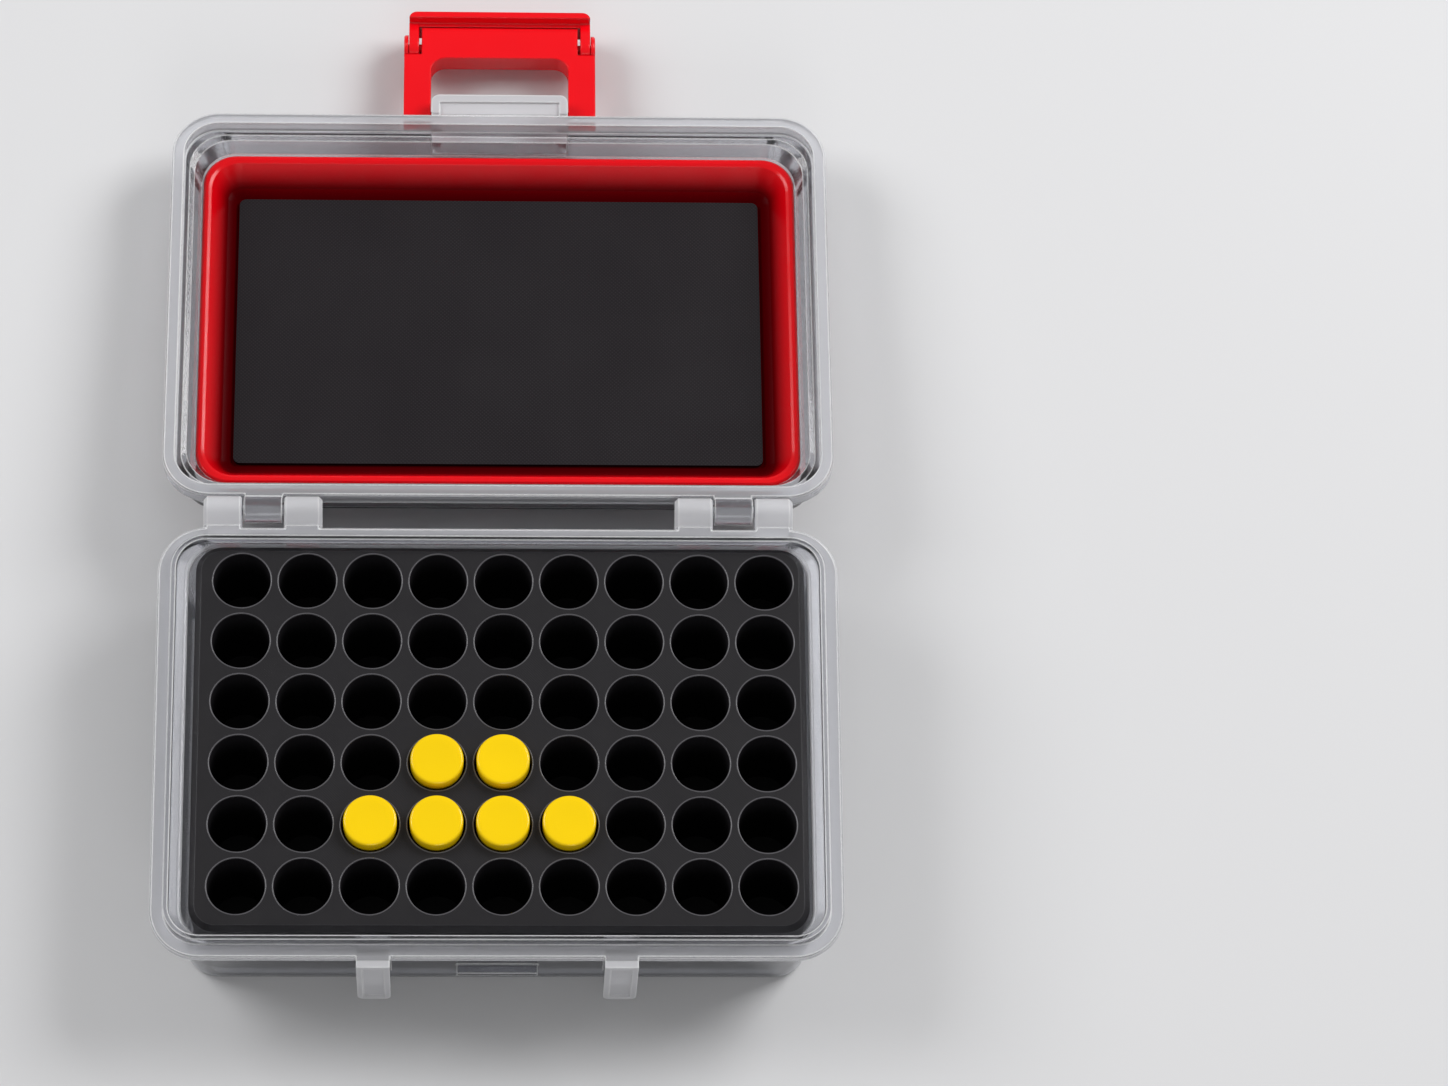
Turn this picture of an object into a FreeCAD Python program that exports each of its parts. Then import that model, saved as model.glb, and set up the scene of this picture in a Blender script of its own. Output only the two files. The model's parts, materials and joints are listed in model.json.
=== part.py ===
import FreeCAD, Part
import math
import os

# A hinged storage case for small vials, all sizes in millimetres.
# The origin is the centre of the case's flat foot. X runs to the right along
# the hinge, Y runs back toward the hinge, and Z is up.
# The case is stored open: its lid has swung back until its far top edge
# rests on the table, and its latch stands straight out from the lid.
# The lid and latch are modelled closed and are then turned to that pose.

V = FreeCAD.Vector
X_AXIS = V(1, 0, 0)

# Crimp-top vial
vial_d = 16.0
glass_wall = 1.1
glass_foot = 1.4
glass_h = 34.6
shoulder_low = 24.0
shoulder_high = 28.0
neck_d = 10.6
bore_d = 7.0
finish_d = 12.8
finish_h = 3.6
stopper_flange_h = 1.9
stopper_plug_h = 4.2
stopper_gap = 0.05
crimp_wall = 0.3
crimp_gap = 0.05
cap_d = 15.1
cap_h = 5.5
cap_top = 1.9
cap_gap = 0.1
cap_edge = 0.5

# Tray, a solid block with blind wells
columns = 9
rows = 6
well_play = 0.25
web_x = 2.2
web_y = 1.85
well_over_glass = 0.3
tray_floor = 1.5
tray_edge_x = 2.65
tray_edge_y = 2.1
tray_draft = 1.6
tray_corner_r = 6.0
tray_top_edge = 1.7
grid_shift_x = 0.8
grid_shift_y = 1.1

# The tray stands loose in the case, pushed to the right and to the back.
tray_play_x = 1.4
tray_play_y = 1.3
tray_shift_x = 0.6
tray_shift_y = 0.95

# Where vials stand, counted from the hinge side's left corner
filled_wells = [(4, 4), (5, 4), (3, 5), (4, 5), (5, 5), (6, 5)]

# Case base
base_wall = 1.6
base_floor = 2.0
base_draft = 1.6
base_foot_round = 3.0
body_corner_r = 9.4
overhang_x = 7.2
overhang_y = 3.8
flange_t = 3.5
flange_corner_r = 14.0
flange_edge = 0.5
deck_above_flange = 0.4
tongue_inset = 3.9
tongue_t = 1.4
tongue_h = 4.1
lead_in_drop = 1.5

# Lid
lid_gap = 0.3
lid_depth = 22.0
lid_top_t = 1.6
lid_flange_t = 5.2
lid_overhang = 4.0
lid_draft = 2.4
lid_top_round = 3.0
recess_play = 0.3
recess_top_gap = 0.6
ledge_w = 1.6
ledge_step_w = 1.4
ledge_step_h = 0.8
ledge_r = 11.0
lid_inner_inset = 8.8
lid_seat_r = 10.2
liner_seat_depth = 9.5

# Liner, a thin formed dish, and the flat panel on its floor
liner_play = 0.3
liner_t = 1.6
liner_rim_w = 2.2
liner_mouth_r = 9.0
liner_slope = 6.0
liner_rim_edge = 0.6
liner_foot_edge = 2.0
panel_t = 1.2
panel_corner_r = 2.0
panel_play = 0.4

# Hinge
hinge_back = 6.0
hinge_drop = 1.7
hinge_spread = 67.8
lug_r = 4.0
lug_w = 10.9
knuckle_r = 3.8
knuckle_w = 11.0
knuckle_gap = 0.6
knuckle_root_out = 0.4
pip_r = 1.6
pip_l = 2.4
pip_play = 0.05
socket_end_gap = 0.4
lug_root_drop = 11.0
lug_clear = 0.7
lug_outer_edge = 1.0
lug_inner_edge = 0.5

# Latch frame
latch_gap = 0.5
latch_t = 6.5
latch_half_w = 28.85
arm_w = 8.15
arm_gap = 0.3
pivot_rise = 8.2
stub_r = 1.8
stub_l = 2.6
stub_play = 0.05
lever_drop = 24.2
bar_half_w = 23.6
bar_rise = 5.0
bar_end_r = 6.5
notch_play = 0.6
window_r = 4.5

# Latch lever, its side pins and what they catch
ear_r = 4.25
ear_gap = 0.8
ear_w = 3.0
pin_r = 1.5
pin_play = 0.08
pin_hold = 0.02
pin_sunk = 6.0
head_w = 1.3
head_edge = 0.4
head_gap = 0.2
strip_gap = 0.3
lever_reach = 9.3
lever_corner_r = 2.4
lip_t = 2.0
lip_wall_gap = 1.9
catch_gap = 0.5
catch_h = 2.0
catch_out = 3.0
catch_half_w = 11.5

# Boss on the lid that carries the latch
boss_rise = 4.5
boss_proud = 0.1
boss_round = 2.4
pocket_inset = 2.5
pocket_depth = 0.8

# Feet on the base's front
front_lug_x = 34.8
front_lug_w = 9.4
front_lug_out = 3.0
front_lug_h = 30.0
front_lug_round = 2.5
front_pocket_inset = 1.7
front_pocket_depth = 0.8

# Wells and tray, worked out
well_r = vial_d / 2 + well_play
well_depth = glass_h + well_over_glass
pitch_x = 2 * well_r + web_x
pitch_y = 2 * well_r + web_y
tray_foot_x = (columns - 1) / 2 * pitch_x + well_r + tray_edge_x
tray_foot_y = (rows - 1) / 2 * pitch_y + well_r + tray_edge_y
tray_foot_z = base_floor
well_floor_z = tray_foot_z + tray_floor
deck_z = well_floor_z + well_depth

# Base, worked out
base_h = deck_z - deck_above_flange
body_top_z = base_h - flange_t
cavity_foot_x = tray_foot_x + tray_play_x
cavity_foot_y = tray_foot_y + tray_play_y
body_foot_x = cavity_foot_x + base_wall
body_foot_y = cavity_foot_y + base_wall
flange_x = body_foot_x + base_draft + overhang_x
flange_y = body_foot_y + base_draft + overhang_y

# Lid, worked out in the closed pose
rim_z = base_h + lid_gap
lid_top_z = rim_z + lid_depth
recess_depth = tongue_h - lid_gap + recess_top_gap
recess_inset = tongue_inset - recess_play
ledge_inset = recess_inset + ledge_w

# Hinge and latch axes, worked out in the closed pose
hinge_y = flange_y + hinge_back
hinge_z = base_h - hinge_drop
latch_back_y = -flange_y - latch_gap
pivot_y = latch_back_y - latch_t / 2
pivot_z = rim_z + pivot_rise
lever_z = pivot_z - lever_drop
boss_half_w = latch_half_w - arm_w - arm_gap
strip_r = bar_end_r + strip_gap
notch_r = ear_r + notch_play
ear_x = bar_half_w + ear_gap
head_x = ear_x + ear_w + head_gap
lip_z = lever_z - lever_reach


def wall_y(z):
    """The half depth of the base's outer wall at a height."""
    return body_foot_y + base_draft * z / body_top_z


def open_lean():
    """How far past flat the lid swings before its rounded far edge meets the table."""
    round_y = flange_y - lid_overhang - lid_draft - lid_top_round
    reach = hinge_y + round_y
    height = lid_top_z - lid_top_round - hinge_z
    drop = hinge_z - lid_top_round
    return math.degrees(math.asin(drop / math.hypot(reach, height)) - math.atan2(height, reach))


lid_swing = 180 + open_lean()
latch_swing = 90


def rounded_outline(half_x, half_y, r, z):
    """A rounded rectangle at height z, as one wire of four sides and four arcs."""
    arcs = []
    for n, (side_x, side_y) in enumerate([(1, 1), (-1, 1), (-1, -1), (1, -1)]):
        x = side_x * (half_x - r)
        y = side_y * (half_y - r)
        turns = [(n + part) * math.pi / 2 for part in (0, 0.5, 1)]
        arcs.append([V(x + r * math.cos(t), y + r * math.sin(t), z) for t in turns])
    edges = []
    for n, arc in enumerate(arcs):
        edges.append(Part.Arc(*arc).toShape())
        edges.append(Part.makeLine(arc[2], arcs[(n + 1) % 4][0]))
    return Part.Wire(edges)


def rounded_slab(half_x, half_y, r, z0, z1):
    """An upright slab with a rounded rectangle as its plan."""
    face = Part.Face(rounded_outline(half_x, half_y, r, z0))
    return face.extrude(V(0, 0, z1 - z0))


def rounded_loft(*sections):
    """Straight walls through sections, each given as half x, half y, corner radius and height."""
    return Part.makeLoft([rounded_outline(*s) for s in sections], True, True)


def level_edges(shape, z):
    """The edges of a shape that lie at one height."""
    return [e for e in shape.Edges if abs(e.BoundBox.ZMin - z) < 1e-4 and abs(e.BoundBox.ZMax - z) < 1e-4]


def upright_edges(shape, x):
    """The edges of a shape that lie in one plane across X."""
    return [e for e in shape.Edges if abs(e.BoundBox.XMin - x) < 1e-4 and abs(e.BoundBox.XMax - x) < 1e-4]


def side_plate(points, x0, width):
    """A plate of even width along X, from a closed outline in the YZ plane."""
    wire = Part.makePolygon([V(x0, y, z) for y, z in points + points[:1]])
    return Part.Face(wire).extrude(V(width, 0, 0))


def tangent_point(y, z, r, from_y, from_z, side):
    """Where a line from a point touches the circle of radius r about (y, z)."""
    dy = from_y - y
    dz = from_z - z
    turn = math.atan2(dz, dy) + side * math.acos(r / math.hypot(dy, dz))
    return y + r * math.cos(turn), z + r * math.sin(turn)


def rod(x0, length, y, z, r):
    """A round rod along X."""
    return Part.makeCylinder(r, length, V(x0, y, z), X_AXIS)


def eye_plate(y, z, r, root, x0, width):
    """A round eye about an axis along X, joined by tangent sides to a root outline.

    The root's first point meets the eye's upper side and its last point the lower side.
    """
    top = tangent_point(y, z, r, root[0][0], root[0][1], -1)
    low = tangent_point(y, z, r, root[-1][0], root[-1][1], 1)
    plate = side_plate(root + [low, (y, z), top], x0, width)
    return plate.fuse(rod(x0, width, y, z, r)).removeSplitter()


def both_sides(shape):
    """A shape and its mirror image on the other side of the middle plane."""
    return [shape, shape.mirror(V(0, 0, 0), X_AXIS)]


def revolved(profile):
    """A turned piece about Z from its outline of radius and height points."""
    wire = Part.makePolygon([V(r, 0, z) for r, z in profile + profile[:1]])
    return Part.Face(wire).revolve(V(0, 0, 0), V(0, 0, 1), 360)


def joined(first, others):
    """One solid from pieces that touch or overlap."""
    return first.fuse(others).removeSplitter()


def base_shell():
    """The clear base: a drafted tub with a flange, a raised tongue, hinge lugs, feet and a catch."""
    body = rounded_loft(
        (body_foot_x, body_foot_y, body_corner_r, 0),
        (body_foot_x + base_draft, body_foot_y + base_draft, body_corner_r + base_draft, body_top_z),
    )
    body = body.makeFillet(base_foot_round, level_edges(body, 0))
    flange = rounded_slab(flange_x, flange_y, flange_corner_r, body_top_z, base_h)
    flange = flange.makeChamfer(flange_edge, level_edges(flange, body_top_z) + level_edges(flange, base_h))
    tongue = rounded_slab(
        flange_x - tongue_inset,
        flange_y - tongue_inset,
        flange_corner_r - tongue_inset,
        base_h - flange_t / 2,
        base_h + tongue_h,
    )
    extras = [flange, tongue, catch_rib()]
    extras += both_sides(front_lug())
    for x in (-hinge_spread, hinge_spread):
        extras += hinge_lugs(x)
    shell = joined(body, extras).cut(base_cavity())
    for x in (-hinge_spread, hinge_spread):
        shell = shell.cut(hinge_sockets(x))
    return shell.removeSplitter()


def base_cavity():
    """The inside of the base, from its floor up through the tongue, wider at the mouth's two sides."""
    lead_z = base_h - lead_in_drop
    grown = base_draft * lead_z / body_top_z
    foot_r = body_corner_r - base_wall
    mouth_x = flange_x - tongue_inset - tongue_t
    mouth_y = flange_y - tongue_inset - tongue_t
    mouth_r = flange_corner_r - tongue_inset - tongue_t
    tub = rounded_loft(
        (cavity_foot_x, cavity_foot_y, foot_r, base_floor),
        (cavity_foot_x + grown, cavity_foot_y + grown, foot_r + grown, lead_z),
    )
    mouth = rounded_loft(
        (cavity_foot_x + grown, cavity_foot_y + grown, foot_r + grown, lead_z),
        (mouth_x, mouth_y, mouth_r, base_h + tongue_h),
    )
    return tub.fuse(mouth)


def hinge_lugs(x):
    """The two fixed hinge lugs about one knuckle, each a rounded eye on a gusset with bevelled ends."""
    root_z = base_h - lug_root_drop
    root_y = wall_y(root_z) - base_wall / 2
    root = [(flange_y + lug_clear, base_h), (root_y, base_h), (root_y, root_z)]
    inner = knuckle_w / 2 + knuckle_gap
    lug = eye_plate(hinge_y, hinge_z, lug_r, root, inner, lug_w)
    lug = lug.makeChamfer(lug_outer_edge, upright_edges(lug, inner + lug_w))
    lug = lug.makeChamfer(lug_inner_edge, upright_edges(lug, inner))
    pair = both_sides(lug)
    for side in pair:
        side.translate(V(x, 0, 0))
    return pair


def hinge_sockets(x):
    """The blind sockets in two lugs' inner faces, for the knuckle's pips."""
    length = 2 * (knuckle_w / 2 + knuckle_gap + pip_l + socket_end_gap)
    return rod(x - length / 2, length, hinge_y, hinge_z, pip_r + pip_play)


def front_lug():
    """One foot on the front wall, with round lower corners and a sunk panel."""
    half_w = front_lug_w / 2
    low_z = base_h - front_lug_h
    front_y = -flange_y - front_lug_out
    back_y = base_wall / 2 - wall_y(low_z)
    corner = V(front_lug_x - half_w, front_y, low_z)
    block = Part.makeBox(front_lug_w, back_y - front_y, front_lug_h, corner)
    low_sides = [e for e in level_edges(block, low_z) if e.BoundBox.YLength > front_lug_out]
    block = block.makeFillet(front_lug_round, low_sides)
    pocket = Part.makeBox(
        front_lug_w - 2 * front_pocket_inset,
        front_pocket_depth,
        front_lug_h - 2 * front_pocket_inset,
        corner + V(front_pocket_inset, 0, front_pocket_inset),
    )
    return block.cut(pocket)


def catch_rib():
    """The rib on the front wall that the latch lever's lip hooks under."""
    low_z = lip_z + lip_t + catch_gap
    corner = V(-catch_half_w, -wall_y(low_z) - catch_out, low_z)
    return Part.makeBox(2 * catch_half_w, catch_out + base_wall / 2, catch_h, corner)


def vial_tray():
    """The loose block of wells, with a bevelled top edge."""
    block = rounded_loft(
        (tray_foot_x, tray_foot_y, tray_corner_r, tray_foot_z),
        (tray_foot_x + tray_draft, tray_foot_y + tray_draft, tray_corner_r + tray_draft, deck_z),
    )
    block = block.makeChamfer(tray_top_edge, level_edges(block, deck_z))
    block.translate(V(tray_shift_x, tray_shift_y, 0))
    wells = []
    for column in range(1, columns + 1):
        for row in range(1, rows + 1):
            x, y = well_centre(column, row)
            wells.append(Part.makeCylinder(well_r, well_depth, V(x, y, well_floor_z)))
    return block.cut(wells)


def well_centre(column, row):
    """The middle of a well, in columns from the left and rows from the hinge side."""
    x = tray_shift_x + grid_shift_x + (column - (columns + 1) / 2) * pitch_x
    y = tray_shift_y + grid_shift_y + ((rows + 1) / 2 - row) * pitch_y
    return x, y


def vial_glass():
    """A blown glass vial: a round body, a shoulder, a neck and a thick finish."""
    body_r = vial_d / 2
    neck_r = neck_d / 2
    bore_r = bore_d / 2
    finish_r = finish_d / 2
    finish_z = glass_h - finish_h
    return revolved([
        (0, 0),
        (body_r, 0),
        (body_r, shoulder_low),
        (neck_r, shoulder_high),
        (neck_r, finish_z),
        (finish_r, finish_z),
        (finish_r, glass_h),
        (bore_r, glass_h),
        (bore_r, shoulder_low),
        (body_r - glass_wall, shoulder_low),
        (body_r - glass_wall, glass_foot),
        (0, glass_foot),
    ])


def vial_stopper():
    """A rubber stopper: a flange on the finish and a plug in the bore."""
    plug_r = bore_d / 2 - stopper_gap
    flange_r = finish_d / 2
    return revolved([
        (0, glass_h - stopper_plug_h),
        (plug_r, glass_h - stopper_plug_h),
        (plug_r, glass_h),
        (flange_r, glass_h),
        (flange_r, glass_h + stopper_flange_h),
        (0, glass_h + stopper_flange_h),
    ])


def vial_crimp():
    """The aluminium seal: a cup crimped over the stopper and the finish."""
    inner_r = finish_d / 2 + crimp_gap
    outer_r = inner_r + crimp_wall
    low_z = glass_h - finish_h - crimp_wall
    top_z = glass_h + stopper_flange_h
    return revolved([
        (inner_r, low_z),
        (outer_r, low_z),
        (outer_r, top_z + crimp_wall),
        (0, top_z + crimp_wall),
        (0, top_z),
        (inner_r, top_z),
    ])


def vial_cap():
    """The snap cap: a disc with a skirt round the seal, its top edge rounded."""
    seat_z = glass_h + stopper_flange_h + crimp_wall
    low_z = seat_z + cap_top - cap_h
    inner_r = finish_d / 2 + crimp_gap + crimp_wall + cap_gap
    outer_r = cap_d / 2
    cap = revolved([
        (0, seat_z),
        (inner_r, seat_z),
        (inner_r, low_z),
        (outer_r, low_z),
        (outer_r, seat_z + cap_top),
        (0, seat_z + cap_top),
    ])
    return cap.makeChamfer(cap_edge, level_edges(cap, seat_z + cap_top))


def lid_shell():
    """The clear lid, closed: a flange with a recess for the tongue, walls, boss and hinge knuckles."""
    flange_top = rim_z + lid_flange_t
    body_x = flange_x - lid_overhang
    body_y = flange_y - lid_overhang
    body_r = flange_corner_r - lid_overhang
    body = rounded_loft(
        (body_x, body_y, body_r, flange_top),
        (body_x - lid_draft, body_y - lid_draft, body_r - lid_draft, lid_top_z),
    )
    body = body.makeFillet(lid_top_round, level_edges(body, lid_top_z))
    flange = rounded_slab(flange_x, flange_y, flange_corner_r, rim_z, flange_top)
    flange = flange.makeChamfer(flange_edge, level_edges(flange, rim_z) + level_edges(flange, flange_top))
    knuckles = [hinge_knuckle(x) for x in (-hinge_spread, hinge_spread)]
    shell = joined(body, [flange, latch_boss()] + knuckles)
    return shell.cut([lid_recess(), lid_cavity(), boss_pocket()] + boss_sockets()).removeSplitter()


def lid_recess():
    """The step in the lid's flange that drops over the base's tongue."""
    return rounded_slab(
        flange_x - recess_inset,
        flange_y - recess_inset,
        flange_corner_r - recess_inset,
        rim_z,
        rim_z + recess_depth,
    )


def lid_cavity():
    """The inside of the lid: a bevelled ledge, a slope in to the liner's seat, then straight."""
    ledge_z = rim_z + recess_depth
    seat_z = rim_z + liner_seat_depth
    seat_x = flange_x - lid_inner_inset
    seat_y = flange_y - lid_inner_inset
    ledge_x = flange_x - ledge_inset
    ledge_y = flange_y - ledge_inset
    slope = rounded_loft(
        (ledge_x, ledge_y, ledge_r, ledge_z),
        (ledge_x - ledge_step_w, ledge_y - ledge_step_w, ledge_r, ledge_z + ledge_step_h),
        (seat_x, seat_y, lid_seat_r, seat_z),
    )
    return slope.fuse(rounded_slab(seat_x, seat_y, lid_seat_r, seat_z, lid_top_z - lid_top_t))


def hinge_knuckle(x):
    """One hinge knuckle with a pip at each end, on an arm from the lid's flange."""
    root_y = flange_y - recess_inset / 2
    root = [(root_y, rim_z + lid_flange_t), (root_y, rim_z), (flange_y + knuckle_root_out, rim_z)]
    knuckle = eye_plate(hinge_y, hinge_z, knuckle_r, root, x - knuckle_w / 2, knuckle_w)
    length = knuckle_w + 2 * (knuckle_gap + pip_l)
    return knuckle.fuse(rod(x - length / 2, length, hinge_y, hinge_z, pip_r))


def latch_boss():
    """The block on the lid's front between the latch's arms, its front corners rounded."""
    front_y = pivot_y - latch_t / 2 - boss_proud
    back_y = lid_inner_inset - flange_y
    low_z = rim_z + lid_gap
    block = Part.makeBox(
        2 * boss_half_w,
        back_y - front_y,
        pivot_z + boss_rise - low_z,
        V(-boss_half_w, front_y, low_z),
    )
    corners = [e for e in block.Edges if e.BoundBox.ZLength > boss_rise and e.BoundBox.YMax < -flange_y]
    return block.makeFillet(boss_round, corners)


def boss_pocket():
    """The shallow pocket in the boss's rim side."""
    half_x = boss_half_w - pocket_inset
    front_y = pivot_y - latch_t / 2 - boss_proud + pocket_inset
    low_z = rim_z + lid_gap
    return Part.makeBox(2 * half_x, -flange_y - front_y, pocket_depth, V(-half_x, front_y, low_z))


def boss_sockets():
    """The two blind sockets that the latch's stubs turn in."""
    depth = stub_l + socket_end_gap
    return both_sides(rod(boss_half_w - depth, depth, pivot_y, pivot_z, stub_r + stub_play))


def lid_liner():
    """The formed liner, closed: a flat rim, sloping sides and a floor against the lid's top."""
    rim_x = flange_x - lid_inner_inset - liner_play
    rim_y = flange_y - lid_inner_inset - liner_play
    rim_r = lid_seat_r - liner_play
    mouth_x = rim_x - liner_rim_w
    mouth_y = rim_y - liner_rim_w
    face_z = rim_z + liner_seat_depth
    back_z = lid_top_z - lid_top_t
    rim = rounded_slab(rim_x, rim_y, rim_r, face_z, face_z + liner_t)
    outside = liner_dish(mouth_x + liner_t, mouth_y + liner_t, liner_mouth_r + liner_t, face_z, back_z)
    inside = liner_dish(mouth_x, mouth_y, liner_mouth_r, face_z, back_z - liner_t)
    inside = inside.makeChamfer(liner_foot_edge, level_edges(inside, back_z - liner_t))
    liner = joined(rim, [outside]).cut(inside)
    return liner.makeChamfer(liner_rim_edge, level_edges(liner, face_z))


def liner_dish(half_x, half_y, r, z0, z1):
    """A tapered solid, widest at z0."""
    end = (half_x - liner_slope, half_y - liner_slope, r - liner_slope, z1)
    return rounded_loft((half_x, half_y, r, z0), end)


def liner_panel():
    """The flat panel that lies on the liner's floor."""
    inset = lid_inner_inset + liner_play + liner_rim_w + liner_slope + liner_foot_edge + panel_play
    floor_z = lid_top_z - lid_top_t - liner_t
    return rounded_slab(flange_x - inset, flange_y - inset, panel_corner_r, floor_z - panel_t, floor_z)


def latch_frame():
    """The latch, closed: two arms on stubs, joined by a bar that carries the lever."""
    front_y = pivot_y - latch_t / 2
    arm_x = latch_half_w - arm_w
    window_z = lever_z + bar_rise
    plate = Part.makeBox(2 * latch_half_w, latch_t, pivot_z - lever_z, V(-latch_half_w, front_y, lever_z))
    window = Part.makeBox(2 * arm_x, latch_t, pivot_z - window_z + latch_t, V(-arm_x, front_y, window_z))
    corners = level_edges(window, window_z)
    window = window.makeFillet(window_r, [e for e in corners if e.BoundBox.YLength > latch_t / 2])
    tail = Part.makeBox(2 * bar_half_w, latch_t, bar_end_r, V(-bar_half_w, front_y, lever_z - bar_end_r))
    tail = tail.common(rod(-bar_half_w, 2 * bar_half_w, pivot_y, lever_z, bar_end_r))
    plate = plate.cut(window)
    arm_end = rod(arm_x, arm_w, pivot_y, pivot_z, latch_t / 2)
    stub = rod(boss_half_w - stub_l, stub_l + arm_gap, pivot_y, pivot_z, stub_r)
    notch = rod(bar_half_w, arm_w, pivot_y, lever_z, notch_r)
    hole = rod(bar_half_w - pin_sunk, pin_sunk, pivot_y, lever_z, pin_r + pin_hold)
    frame = joined(plate, [tail] + both_sides(arm_end) + both_sides(stub))
    return frame.cut(both_sides(notch) + both_sides(hole)).removeSplitter()


def latch_lever():
    """The lever, closed: two round ears on the pins, a strip past the bar's end and its hooked lip."""
    half_x = ear_x + ear_w
    front_y = pivot_y - latch_t / 2
    strip_h = lever_reach - math.sqrt(strip_r ** 2 - (latch_t / 2) ** 2)
    strip = Part.makeBox(2 * half_x, latch_t, strip_h, V(-half_x, front_y, lip_z))
    strip = strip.cut(rod(-half_x, 2 * half_x, pivot_y, lever_z, strip_r))
    tip_y = -wall_y(lip_z) - lip_wall_gap
    lip = Part.makeBox(2 * half_x, tip_y - pivot_y, lip_t, V(-half_x, pivot_y, lip_z))
    root = [(front_y, lip_z), (latch_back_y, lip_z)]
    ear = eye_plate(pivot_y, lever_z, ear_r, root, ear_x, ear_w)
    hole = rod(ear_x, ear_w, pivot_y, lever_z, pin_r + pin_play)
    lever = joined(strip, [lip] + both_sides(ear)).cut(both_sides(hole)).removeSplitter()
    corners = [e for e in level_edges(lever, lip_z) if e.BoundBox.XLength < lip_t and e.BoundBox.YLength > latch_t]
    return lever.makeFillet(lever_corner_r, corners)


def latch_pin():
    """The right-hand pin, closed: a shank sunk in the bar's end and a flat round head."""
    shank_x = bar_half_w - pin_sunk
    shank = rod(shank_x, head_x - shank_x, pivot_y, lever_z, pin_r)
    head = rod(head_x, head_w, pivot_y, lever_z, ear_r)
    rim = [e for e in head.Edges if e.BoundBox.XMin > head_x + head_w / 2 and e.BoundBox.YLength > ear_r]
    return shank.fuse(head.makeChamfer(head_edge, rim)).removeSplitter()


def turned(shape, y, z, angle):
    """A copy of a shape, turned about an axis along X by an angle in degrees."""
    copy = shape.copy()
    copy.rotate(V(0, y, z), X_AXIS, angle)
    return copy


def on_open_lid(shape):
    """Carry a piece from the closed lid to the open one."""
    return turned(shape, hinge_y, hinge_z, -lid_swing)


def on_open_latch(shape):
    """Carry a piece from the closed latch to the one that stands out from the open lid."""
    return on_open_lid(turned(shape, pivot_y, pivot_z, -latch_swing))


def all_pieces():
    """Every piece of the case, by name."""
    right_pin = latch_pin()
    pieces = {
        "base_shell": base_shell(),
        "vial_tray": vial_tray(),
        "lid_shell": on_open_lid(lid_shell()),
        "lid_liner": on_open_lid(lid_liner()),
        "liner_panel": on_open_lid(liner_panel()),
        "latch_frame": on_open_latch(latch_frame()),
        "latch_lever": on_open_latch(latch_lever()),
        "latch_pin_right": on_open_latch(right_pin),
        "latch_pin_left": on_open_latch(right_pin.mirror(V(0, 0, 0), X_AXIS)),
    }
    vial = {"glass": vial_glass(), "stopper": vial_stopper(), "crimp": vial_crimp(), "cap": vial_cap()}
    for number, (column, row) in enumerate(filled_wells, 1):
        x, y = well_centre(column, row)
        for part, shape in vial.items():
            placed = shape.copy()
            placed.translate(V(x, y, well_floor_z))
            pieces[f"vial_{number}_{part}"] = placed
    return pieces


os.makedirs("parts", exist_ok=True)
for name, shape in all_pieces().items():
    shape.exportStep(f"parts/{name}.step")
    print(name, round(shape.Volume, 1), shape.isValid(), len(shape.Solids))
print("lid swing", lid_swing, "hinge axis", hinge_y, hinge_z)
latch_axis = on_open_lid(Part.Vertex(0, pivot_y, pivot_z)).Point
lever_axis = on_open_latch(Part.Vertex(0, pivot_y, lever_z)).Point
print("latch axis", latch_axis, "lever axis", lever_axis)
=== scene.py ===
import json
import math

import bmesh
import bpy
from mathutils import Matrix, Vector


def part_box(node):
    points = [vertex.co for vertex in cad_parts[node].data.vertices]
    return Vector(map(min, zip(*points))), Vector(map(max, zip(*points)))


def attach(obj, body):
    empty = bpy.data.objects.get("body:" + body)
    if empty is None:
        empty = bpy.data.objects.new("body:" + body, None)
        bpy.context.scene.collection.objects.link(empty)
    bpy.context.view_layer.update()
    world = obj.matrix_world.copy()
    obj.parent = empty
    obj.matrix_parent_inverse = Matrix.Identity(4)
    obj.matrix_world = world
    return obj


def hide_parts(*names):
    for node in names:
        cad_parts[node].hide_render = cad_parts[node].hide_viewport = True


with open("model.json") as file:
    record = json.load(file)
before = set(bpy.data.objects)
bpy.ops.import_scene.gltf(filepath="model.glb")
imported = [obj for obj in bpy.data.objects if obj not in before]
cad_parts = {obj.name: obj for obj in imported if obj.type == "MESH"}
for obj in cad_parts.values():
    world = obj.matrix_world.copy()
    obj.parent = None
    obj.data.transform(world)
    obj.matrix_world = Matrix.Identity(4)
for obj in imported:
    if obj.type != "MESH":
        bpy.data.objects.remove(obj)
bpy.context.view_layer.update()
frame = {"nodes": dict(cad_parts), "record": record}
nodes = frame["nodes"]
record = frame["record"]

MM = 0.001

# Camera, fitted to the photograph: its place in millimetres, its angles in degrees and its lens
camera_place = (-7.414, -529.513, 1538.378)
camera_down = 68.393
camera_yaw = 6.986
camera_roll = 6.767
camera_lens = 139.23
sensor_width = 36.0

# The grid of wells, in millimetres
columns = 9
rows = 6
well_r = 8.25
pitch_x = 18.7
pitch_y = 18.35
known_well = (5, 3)
deck_z = 38.4

# Levels in millimetres: the base's flange below the deck, the lid's and liner's under the lid's rim
base_rim_drop = 0.4
base_flange_t = 3.5
rim_under_hinge = 2.0
lid_band_h = 4.3
liner_mouth_drop = 9.5
liner_floor_drop = 18.8
# how far above the liner's floor its painted shade is darkest
liner_painted_shade_h = 0.5

# Where in Y the clear plastic turns milky, beyond the tray and at the boss, and how fast, in millimetres
base_frost_reach = 8.3
base_frost_fade = 0.5
lid_frost_y = 205.0
lid_frost_fade = 0.6


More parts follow.
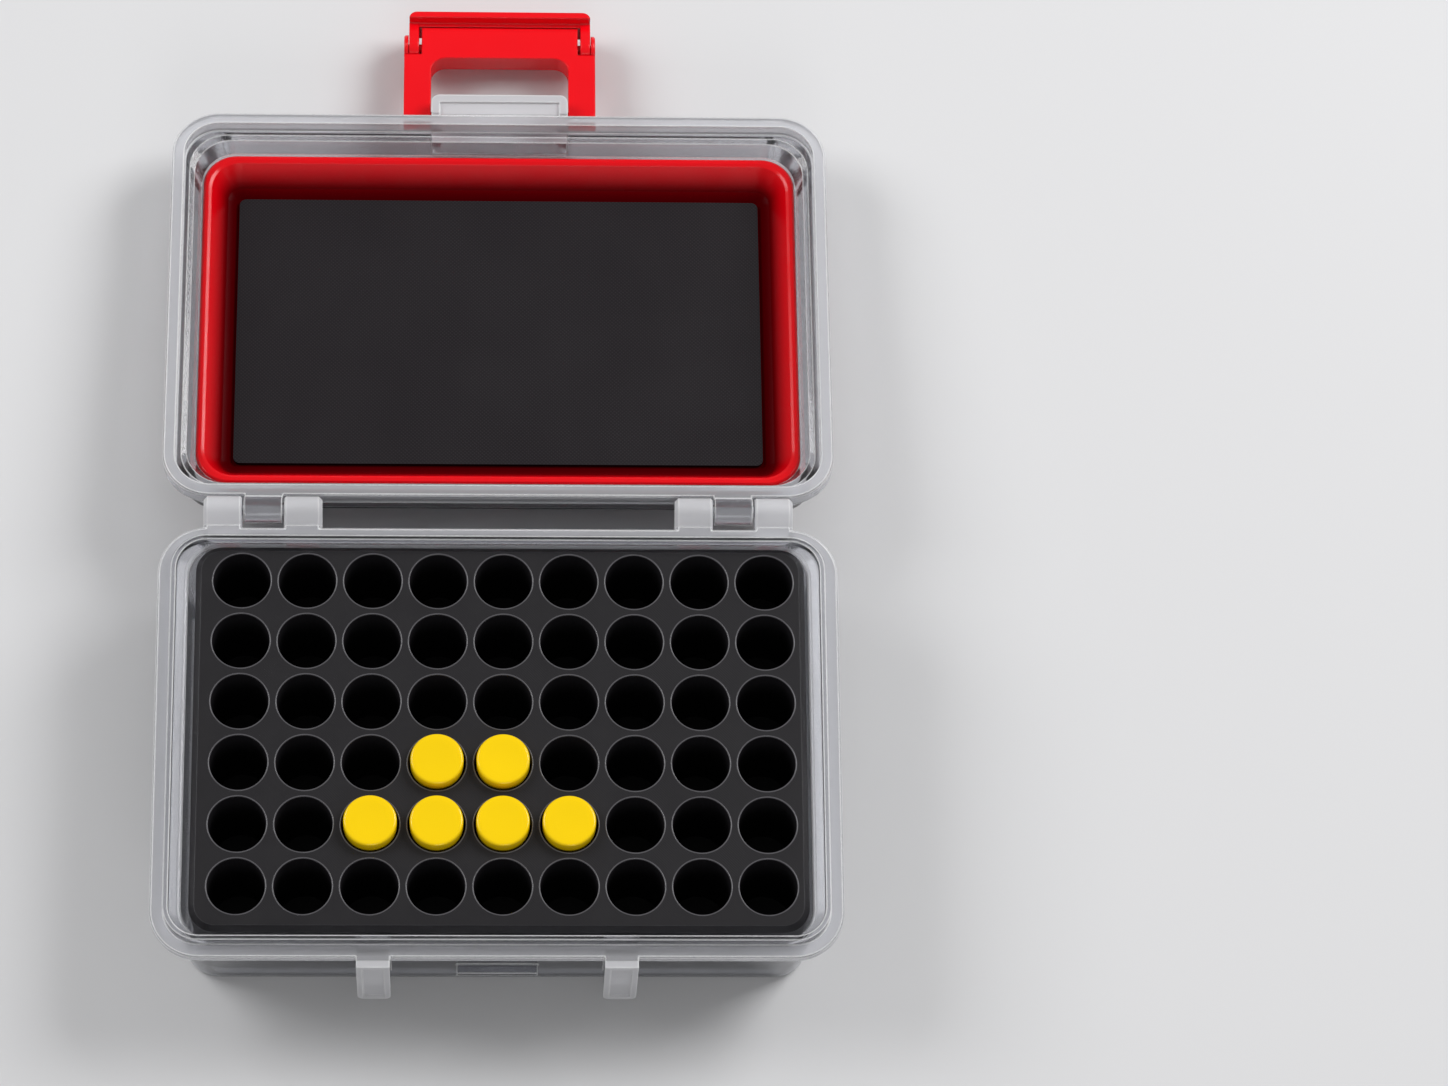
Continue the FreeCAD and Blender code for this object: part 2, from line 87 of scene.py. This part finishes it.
def place_camera():
    """The camera, at the photograph's viewing angle."""
    down, yaw, roll = (math.radians(a) for a in (camera_down, camera_yaw, camera_roll))
    forward = Vector((math.sin(yaw) * math.cos(down), math.cos(yaw) * math.cos(down), -math.sin(down)))
    level = Vector((math.cos(yaw), -math.sin(yaw), 0))
    up = level.cross(forward)
    right = math.cos(roll) * level + math.sin(roll) * up
    top = math.cos(roll) * up - math.sin(roll) * level
    data = bpy.data.cameras.new("camera")
    data.lens = camera_lens
    data.sensor_width = sensor_width
    data.clip_end = 20
    camera = bpy.data.objects.new("camera", data)
    bpy.context.scene.collection.objects.link(camera)
    turn = Matrix((right, top, -forward)).transposed().to_4x4()
    camera.matrix_world = Matrix.Translation(Vector(camera_place) * MM) @ turn
    bpy.context.scene.camera = camera


def add_light(name, place, size, power):
    """A square soft light that looks at the middle of the case."""
    data = bpy.data.lights.new(name, "AREA")
    data.shape = "SQUARE"
    data.size = size
    data.energy = power
    light = bpy.data.objects.new(name, data)
    bpy.context.scene.collection.objects.link(light)
    light.location = place
    case_middle = Vector((0, 0.08, 0))
    aim = case_middle - Vector(place)
    light.rotation_euler = aim.to_track_quat("-Z", "Y").to_euler()


def set_world(light_level, seen_level):
    """An even pale world: one level lights the object, another is what camera, gloss and glass see."""
    world = bpy.data.worlds.new("studio")
    bpy.context.scene.world = world
    world.use_nodes = True
    tree = world.node_tree
    background = tree.nodes["Background"]
    background.inputs["Color"].default_value = (1, 1, 1, 1)
    path = tree.nodes.new("ShaderNodeLightPath")
    seen = tree.nodes.new("ShaderNodeMath")
    seen.operation = "MAXIMUM"
    glass = tree.nodes.new("ShaderNodeMath")
    glass.operation = "MAXIMUM"
    level = tree.nodes.new("ShaderNodeMapRange")
    level.inputs["To Min"].default_value = light_level
    level.inputs["To Max"].default_value = seen_level
    tree.links.new(path.outputs["Is Camera Ray"], seen.inputs[0])
    tree.links.new(path.outputs["Is Glossy Ray"], seen.inputs[1])
    tree.links.new(seen.outputs[0], glass.inputs[0])
    tree.links.new(path.outputs["Is Transmission Ray"], glass.inputs[1])
    tree.links.new(glass.outputs[0], level.inputs["Value"])
    tree.links.new(level.outputs["Result"], background.inputs["Strength"])


class Shader:
    """A material and short ways to add nodes to it."""

    def __init__(self, name, colour, roughness, **sockets):
        self.material = bpy.data.materials.new(name)
        self.material.use_nodes = True
        self.tree = self.material.node_tree
        self.bsdf = self.tree.nodes["Principled BSDF"]
        self.set("Base Color", (*colour, 1))
        self.set("Roughness", roughness)
        for socket, value in sockets.items():
            self.set(socket.replace("_", " "), value)
        self.coordinates = self.node("TexCoord")
        self.place = self.coordinates.outputs["Object"]

    def set(self, socket, value):
        """Write a constant on the surface, or link a node's output to it."""
        self.join(value, self.bsdf.inputs[socket])

    def node(self, kind, **settings):
        made = self.tree.nodes.new("ShaderNode" + kind)
        for key, value in settings.items():
            setattr(made, key, value)
        return made

    def join(self, value, socket):
        if isinstance(value, bpy.types.NodeSocket):
            self.tree.links.new(value, socket)
        else:
            socket.default_value = value

    def math(self, operation, a, b=0.0):
        made = self.node("Math", operation=operation)
        self.join(a, made.inputs[0])
        self.join(b, made.inputs[1])
        return made.outputs[0]

    def axis(self, name):
        """One coordinate of the point, in millimetres."""
        split = self.node("SeparateXYZ")
        self.join(self.place, split.inputs[0])
        return self.math("MULTIPLY", split.outputs[name], 1 / MM)

    def height(self, lean):
        """The point's height in millimetres above a plane through X that leans down toward +Y."""
        along = self.math("MULTIPLY", self.axis("Y"), math.sin(lean))
        return self.math("ADD", along, self.math("MULTIPLY", self.axis("Z"), math.cos(lean)))

    def ramp(self, value, start, end, low=0.0, high=1.0):
        """A value's smooth step from low at start to high at end."""
        made = self.node("MapRange", interpolation_type="SMOOTHSTEP")
        self.join(value, made.inputs["Value"])
        made.inputs["From Min"].default_value = start
        made.inputs["From Max"].default_value = end
        made.inputs["To Min"].default_value = low
        made.inputs["To Max"].default_value = high
        return made.outputs["Result"]

    def blend(self, factor, a, b):
        """One colour turning into another."""
        made = self.node("Mix", data_type="RGBA")
        self.join(factor, made.inputs["Factor"])
        self.join(a, made.inputs["A"])
        self.join(b, made.inputs["B"])
        return made.outputs["Result"]

    def noise(self, size_mm, detail, stretch=(1, 1, 1)):
        """Cloudy noise with patches of about size_mm."""
        mapping = self.node("Mapping")
        mapping.inputs["Scale"].default_value = stretch
        self.join(self.place, mapping.inputs["Vector"])
        made = self.node("TexNoise")
        made.inputs["Scale"].default_value = 1 / (size_mm * MM)
        made.inputs["Detail"].default_value = detail
        self.join(mapping.outputs[0], made.inputs["Vector"])
        return made.outputs["Fac"]

    def lines(self, along, period_mm):
        """Even parallel lines across a direction, from 0 to 1."""
        dot = self.node("VectorMath", operation="DOT_PRODUCT")
        self.join(self.place, dot.inputs[0])
        dot.inputs[1].default_value = Vector(along).normalized()
        phase = self.math("MULTIPLY", dot.outputs["Value"], 2 * math.pi / (period_mm * MM))
        return self.ramp(self.math("SINE", phase), -1, 1)

    def rounded(self, radius_mm):
        """The normal as if every edge were rounded."""
        made = self.node("Bevel", samples=4)
        made.inputs["Radius"].default_value = radius_mm * MM
        return made.outputs["Normal"]

    def edges(self, normal, low=0.995, high=0.9):
        """1 on an edge and 0 away from it."""
        geometry = self.node("NewGeometry")
        dot = self.node("VectorMath", operation="DOT_PRODUCT")
        self.join(normal, dot.inputs[0])
        self.join(geometry.outputs["Normal"], dot.inputs[1])
        made = self.node("MapRange")
        self.join(dot.outputs["Value"], made.inputs["Value"])
        made.inputs["From Min"].default_value = low
        made.inputs["From Max"].default_value = high
        return made.outputs["Result"]

    def bump(self, height, depth_mm, normal=None):
        """Relief of a real depth on the surface."""
        made = self.node("Bump")
        made.inputs["Strength"].default_value = 1.0
        made.inputs["Distance"].default_value = depth_mm * MM
        self.join(height, made.inputs["Height"])
        if normal is not None:
            self.join(normal, made.inputs["Normal"])
        self.set("Normal", made.outputs["Normal"])


def clear_plastic(name, lean, band, frost_start, frost_end):
    """Clear moulded styrene with a painted highlight of white along its edges, and milky where it is
    thick.

    It is milky in a band of heights across its flange, which leans as the lid does, and past a line in Y.
    """
    s = Shader(name, (0.6, 0.61, 0.65), 0.12, IOR=1.5)
    normal = s.rounded(0.6)
    edge = s.edges(normal, 0.9995, 0.98)
    height = s.height(lean)
    low, high = band
    above = s.ramp(height, low - 0.1, low + 0.1)
    below = s.ramp(height, high + 0.05, high + 0.2, 1, 0)
    milk = s.math("MULTIPLY", above, below)
    frost = s.ramp(s.math("ABSOLUTE", s.axis("Y")), frost_start, frost_end)
    thick = s.math("MAXIMUM", s.math("MULTIPLY", milk, 0.6), frost)
    body = s.blend(thick, (0.68, 0.69, 0.73, 1), (0.84, 0.84, 0.87, 1))
    # painted highlight: the colour turns white along every edge
    s.set("Base Color", s.blend(edge, body, (0.99, 0.99, 1.0, 1)))
    # painted highlight: the edges also let less light through so their white shows; the milky parts are
    # real frost
    haze_and_painted_highlight = s.math("MAXIMUM", s.math("MULTIPLY", edge, 0.85), s.math("MULTIPLY", thick, 0.5))
    s.set("Transmission Weight", s.math("SUBTRACT", 0.97, haze_and_painted_highlight))
    cloudy = s.ramp(s.noise(14, 3), 0.3, 0.7, 0.05, 0.1)
    s.set("Roughness", s.math("ADD", cloudy, s.math("MULTIPLY", s.math("MAXIMUM", edge, frost), 0.35)))
    s.bump(s.noise(1.1, 2), 0.004, normal)
    return s.material


def printed_plastic(name):
    """Black printed plastic with the fine raster of its top layer, and a painted highlight: lighter along
    its edges.
    """
    black = (0.013, 0.012, 0.014)
    s = Shader(name, black, 0.42, Specular_IOR_Level=0.3)
    normal = s.rounded(0.25)
    edge = s.edges(normal)
    raster = s.lines((1, 1, 0), 0.55)
    # painted highlight: the black turns lighter grey along every edge
    s.set("Base Color", s.blend(edge, (*black, 1), (0.07, 0.068, 0.075, 1)))
    s.set("Roughness", s.ramp(s.noise(7, 3), 0.2, 0.8, 0.4, 0.46))
    s.bump(s.math("ADD", raster, s.noise(0.4, 2)), 0.012, normal)
    return s.material


def bead_painted_highlight(name):
    """The tray's plastic where each well's outline was drawn smooth and shiny, in a grey lighter than the
    tray's black that is a painted highlight.
    """
    # painted highlight: grey lighter than the tray's black, so each well's outline shows as a light line
    s = Shader(name, (0.085, 0.082, 0.09), 0.3)
    s.set("Roughness", s.ramp(s.noise(3, 2), 0.3, 0.7, 0.26, 0.36))
    s.bump(s.noise(0.5, 2), 0.004)
    return s.material


def glossy_plastic(name, colour, roughness, edge_mm):
    """Coloured moulded plastic with a faint uneven gloss."""
    s = Shader(name, colour, roughness, Specular_IOR_Level=0.35)
    normal = s.rounded(edge_mm)
    shade = tuple(0.9 * c for c in colour)
    s.set("Base Color", s.blend(s.noise(30, 2), (*colour, 1), (*shade, 1)))
    s.set("Roughness", s.ramp(s.noise(6, 3), 0.3, 0.7, 0.85 * roughness, 1.2 * roughness))
    s.bump(s.noise(2.5, 2), 0.006, normal)
    return s.material


def liner_plastic_painted_shade(name, lean, floor, mouth):
    """The liner's glossy red with painted shade: darkened inside the dish towards its foot, full red at
    its mouth and outside.
    """
    red = (0.78, 0.001, 0.006)
    s = Shader(name, red, 0.2)
    facing = s.node("VectorMath", operation="DOT_PRODUCT")
    s.join(s.coordinates.outputs["Normal"], facing.inputs[0])
    facing.inputs[1].default_value = (0, math.sin(lean), math.cos(lean))
    inside = s.ramp(facing.outputs["Value"], -0.05, 0.2)
    # painted shade: inside the dish the colour darkens from the mouth down to the foot
    painted_shade_depth = s.ramp(s.height(lean), floor, mouth, 1, 0)
    shade = s.math("SUBTRACT", 1.0, s.math("MULTIPLY", inside, painted_shade_depth))
    # the near-black red is the painted shade at the foot of the dish
    s.set("Base Color", s.blend(shade, (0.06, 0.0, 0.001, 1), (*red, 1)))
    # the painted shade also dims the gloss towards the foot
    s.set("Specular IOR Level", s.math("MULTIPLY", shade, 0.35))
    s.set("Roughness", s.ramp(s.noise(6, 3), 0.3, 0.7, 0.17, 0.24))
    s.bump(s.noise(2.5, 2), 0.006, s.rounded(0.5))
    return s.material


def hatched_panel(name):
    """The dark panel, with fine lines crossing at right angles."""
    s = Shader(name, (0.01, 0.008, 0.01), 0.36, Specular_IOR_Level=0.3)
    one = s.lines((1, 1, 0), 0.8)
    other = s.lines((1, -1, 0), 0.8)
    both = s.math("MULTIPLY", one, other)
    s.set("Base Color", s.blend(both, (0.008, 0.006, 0.008, 1), (0.02, 0.017, 0.02, 1)))
    s.set("Roughness", s.ramp(s.noise(25, 1), 0.2, 0.8, 0.34, 0.4))
    s.bump(both, 0.02)
    return s.material


def glass(name):
    """The vials' clear glass, faintly uneven."""
    s = Shader(name, (0.95, 0.98, 0.97), 0.02, IOR=1.5)
    s.set("Transmission Weight", 1.0)
    s.bump(s.noise(5, 1), 0.01)
    return s.material


def aluminium(name):
    """The seals' metal, with fine marks running round them."""
    s = Shader(name, (0.78, 0.78, 0.8), 0.3, Metallic=1.0)
    marks = s.noise(0.8, 2, (1, 1, 12))
    s.set("Roughness", s.ramp(marks, 0.3, 0.7, 0.24, 0.4))
    s.bump(marks, 0.01, s.rounded(0.1))
    return s.material


def rubber(name):
    """The stoppers' matt grey rubber."""
    s = Shader(name, (0.11, 0.11, 0.12), 0.7)
    s.bump(s.noise(0.5, 3), 0.02, s.rounded(0.2))
    return s.material


def paint(node, material):
    """Give a CAD piece its finish."""
    for held in nodes[node].material_slots:
        held.material = material


def new_piece(name, maker, material, body):
    """A mesh piece made by maker in a fresh bmesh, in millimetres, on its body."""
    mesh = bpy.data.meshes.new(name)
    shape = bmesh.new()
    maker(shape)
    bmesh.ops.scale(shape, vec=(MM, MM, MM), verts=shape.verts)
    bmesh.ops.recalc_face_normals(shape, faces=shape.faces)
    for face in shape.faces:
        face.smooth = True
    shape.to_mesh(mesh)
    shape.free()
    mesh.materials.append(material)
    piece = bpy.data.objects.new(name, mesh)
    bpy.context.scene.collection.objects.link(piece)
    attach(piece, body)
    return piece


def add_turned(shape, centre, profile, steps):
    """A turned ring or disc about an upright axis, from its closed outline of radius and height."""
    x, y = centre
    loops = []
    for r, z in profile:
        if r == 0:
            loops.append([shape.verts.new((x, y, z))])
            continue
        angles = [2 * math.pi * n / steps for n in range(steps)]
        loops.append([shape.verts.new((x + r * math.cos(a), y + r * math.sin(a), z)) for a in angles])
    for low, high in zip(loops, loops[1:] + loops[:1]):
        if len(low) == len(high) == 1:
            continue
        for n in range(steps):
            m = (n + 1) % steps
            corners = [low[n % len(low)], low[m % len(low)], high[m % len(high)], high[n % len(high)]]
            shape.faces.new(list(dict.fromkeys(corners)))


def arc_points(centre, r, start, end, count):
    """Points round part of a circle, angles in degrees."""
    angles = [math.radians(start + (end - start) * n / (count - 1)) for n in range(count)]
    return [(centre[0] + r * math.cos(a), centre[1] + r * math.sin(a)) for a in angles]


def well_centre(column, row):
    """A well's middle in millimetres, counted from the one that the record measures."""
    mount = next(m for m in record["mounts"] if m["name"] == "vial_well")
    x, y = (mount["pos_m"][n] / MM for n in (0, 1))
    return x + (column - known_well[0]) * pitch_x, y + (known_well[1] - row) * pitch_y


def well_rims(shape):
    """The thin printed bead round the mouth of every well."""
    bead_r = 0.22
    overhang = 0.06
    bead_drop = 0.06
    foot_drop = 0.5
    steps = 72
    inner = well_r - overhang
    middle = inner + bead_r
    profile = [(inner, deck_z - foot_drop)]
    profile += arc_points((middle, deck_z - bead_drop), bead_r, 180, 0, 7)
    profile += [(middle + bead_r, deck_z - foot_drop)]
    for column in range(1, columns + 1):
        for row in range(1, rows + 1):
            add_turned(shape, well_centre(column, row), profile, steps)


def cap_form(centre, low, high):
    """A snap cap with a rounded top edge and a hollow underside."""
    r = (high.x - low.x) / 2 / MM
    z0 = low.z / MM
    z1 = high.z / MM
    edge = 0.75
    foot_edge = 0.25
    dish = 0.12
    dish_inset = 3.2
    rim_inset = 2.4
    skirt = 0.7
    top = 1.8
    steps = 96
    profile = [(0, z1 - dish), (r - dish_inset, z1 - dish), (r - rim_inset, z1)]
    profile += arc_points((r - edge, z1 - edge), edge, 90, 0, 7)
    profile += arc_points((r - foot_edge, z0 + foot_edge), foot_edge, 0, -90, 4)
    profile += [(r - skirt, z0), (r - skirt, z1 - top), (0, z1 - top)]
    return lambda shape: add_turned(shape, centre, profile, steps)


def add_floor():
    """A large plain pale floor at the case's foot."""
    mesh = bpy.data.meshes.new("floor")
    half = 4.0
    corners = [(-half, -half, 0), (half, -half, 0), (half, half, 0), (-half, half, 0)]
    mesh.from_pydata(corners, [], [(0, 1, 2, 3)])
    floor = bpy.data.objects.new("floor", mesh)
    bpy.context.scene.collection.objects.link(floor)
    mesh.materials.append(Shader("floor", (0.7, 0.7, 0.71), 0.9, Specular_IOR_Level=0.2).material)


place_camera()
add_floor()
set_world(0.27, 0.3)
add_light("right_light", (1.2, 0.75, 1.2), 0.9, 23)
add_light("left_light", (-1.25, 0.6, 1.15), 0.9, 15)
add_light("front_light", (0.2, -1.5, 0.9), 0.8, 5)

lid_hinge = next(j for j in record["behaviour"]["joints"] if j["name"] == "lid_hinge")
lid_lean = math.radians(lid_hinge["range_deg"][1] - 180)
hinge_y, hinge_z = (lid_hinge["pos_m"][n] / MM for n in (1, 2))
lid_rim = hinge_y * math.sin(lid_lean) + hinge_z * math.cos(lid_lean) - rim_under_hinge

base_rim = deck_z - base_rim_drop
base_band = (base_rim - base_flange_t, base_rim)
base_frost_y = abs(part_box("vial_tray")[0].y) / MM + base_frost_reach
case_plastic = clear_plastic("case_plastic", 0, base_band, base_frost_y, base_frost_y + base_frost_fade)
lid_band = (lid_rim - lid_band_h, lid_rim)
lid_plastic = clear_plastic("lid_plastic", lid_lean, lid_band, lid_frost_y, lid_frost_y + lid_frost_fade)
tray_plastic = printed_plastic("tray_plastic")
# the liner's painted shade is darkest at the foot level and gone at the mouth level
liner_foot = lid_rim - liner_floor_drop + liner_painted_shade_h
liner_mouth = lid_rim - liner_mouth_drop
liner_red_painted_shade = liner_plastic_painted_shade("liner_red_painted_shade", lid_lean, liner_foot, liner_mouth)
latch_red = glossy_plastic("latch_red", (0.88, 0.002, 0.008), 0.2, edge_mm=0.8)
cap_yellow = glossy_plastic("cap_yellow", (1.0, 0.67, 0.0), 0.16, edge_mm=0.4)

paint("base_shell", case_plastic)
paint("lid_shell", lid_plastic)
paint("vial_tray", tray_plastic)
paint("lid_liner", liner_red_painted_shade)
paint("liner_panel", hatched_panel("panel_hatch"))
for name in ("latch_frame", "latch_lever", "latch_pin_left", "latch_pin_right"):
    paint(name, latch_red)

new_piece("well_rims", well_rims, bead_painted_highlight("bead_painted_highlight"), "base")

vial_glass = glass("vial_glass")
seal_metal = aluminium("seal_metal")
stopper_rubber = rubber("stopper_rubber")
vials = sorted(n for n in nodes if n.startswith("vial_") and n.endswith("_cap"))
for name in vials:
    low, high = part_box(name)
    middle = ((low.x + high.x) / 2 / MM, (low.y + high.y) / 2 / MM)
    cap = new_piece(name + "_top", cap_form(middle, low, high), cap_yellow, "base")
    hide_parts(name)
    paint(name, cap_yellow)
    stem = name.removesuffix("cap")
    paint(stem + "glass", vial_glass)
    paint(stem + "crimp", seal_metal)
    paint(stem + "stopper", stopper_rubber)

bpy.context.scene.view_settings.view_transform = "Standard"
